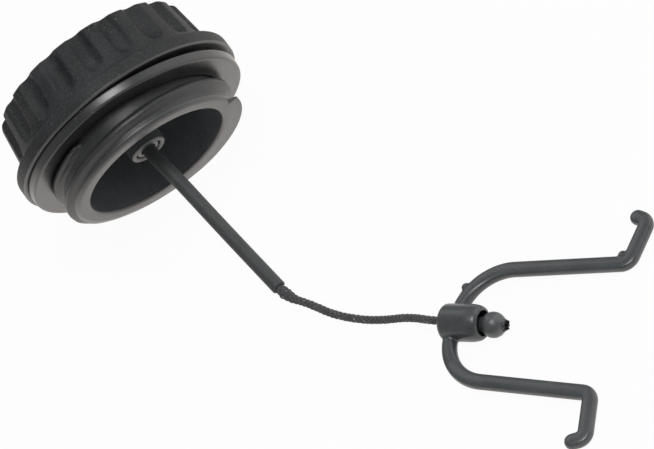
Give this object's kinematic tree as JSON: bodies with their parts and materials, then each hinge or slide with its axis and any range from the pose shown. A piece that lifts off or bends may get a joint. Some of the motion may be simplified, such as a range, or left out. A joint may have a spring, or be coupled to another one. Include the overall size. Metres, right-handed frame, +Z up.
{
  "type": "fuel filler cap",
  "caption": "Screw-in fuel filler cap with fluted grip, coarse male thread, loose sealing ring and a sleeved cord tether ending in a hooked retainer clip.",
  "frame": {"origin": "on the floor under the middle of the cap's box, the tether and clip left out", "axes": "+Z up; the cap lies on its side with its mouth toward -Y and down, +X across the cap; the tether runs to -Y and +X"},
  "size_m": [0.0943, 0.1426, 0.0472],
  "materials": {
    "cap_plastic": "fine-grained charcoal black moulding",
    "ring_rubber": "smooth dark rubber with a soft sheen",
    "sleeve_plastic": "smooth brownish-black tube",
    "cord_braid": "black braided cord with pale flecks",
    "clip_plastic": "dark grey moulding with a satin sheen"
  },
  "bodies": {
    "cap": {"cap_body": "cap_plastic", "sealing_ring": "ring_rubber", "tether_anchor": "clip_plastic", "tether_sleeve": "sleeve_plastic", "tether_cord": "cord_braid", "cord_stopper": "clip_plastic"},
    "clip": {"retainer_clip": "clip_plastic"}
  },
  "joints": [
    {"name": "clip_swivel", "type": "hinge", "parent": "cap", "child": "clip", "pos_m": [0.0301, -0.0834, 0.00372], "axis": [0.6987, -0.7135, -0.0525], "continuous": true}
  ]
}
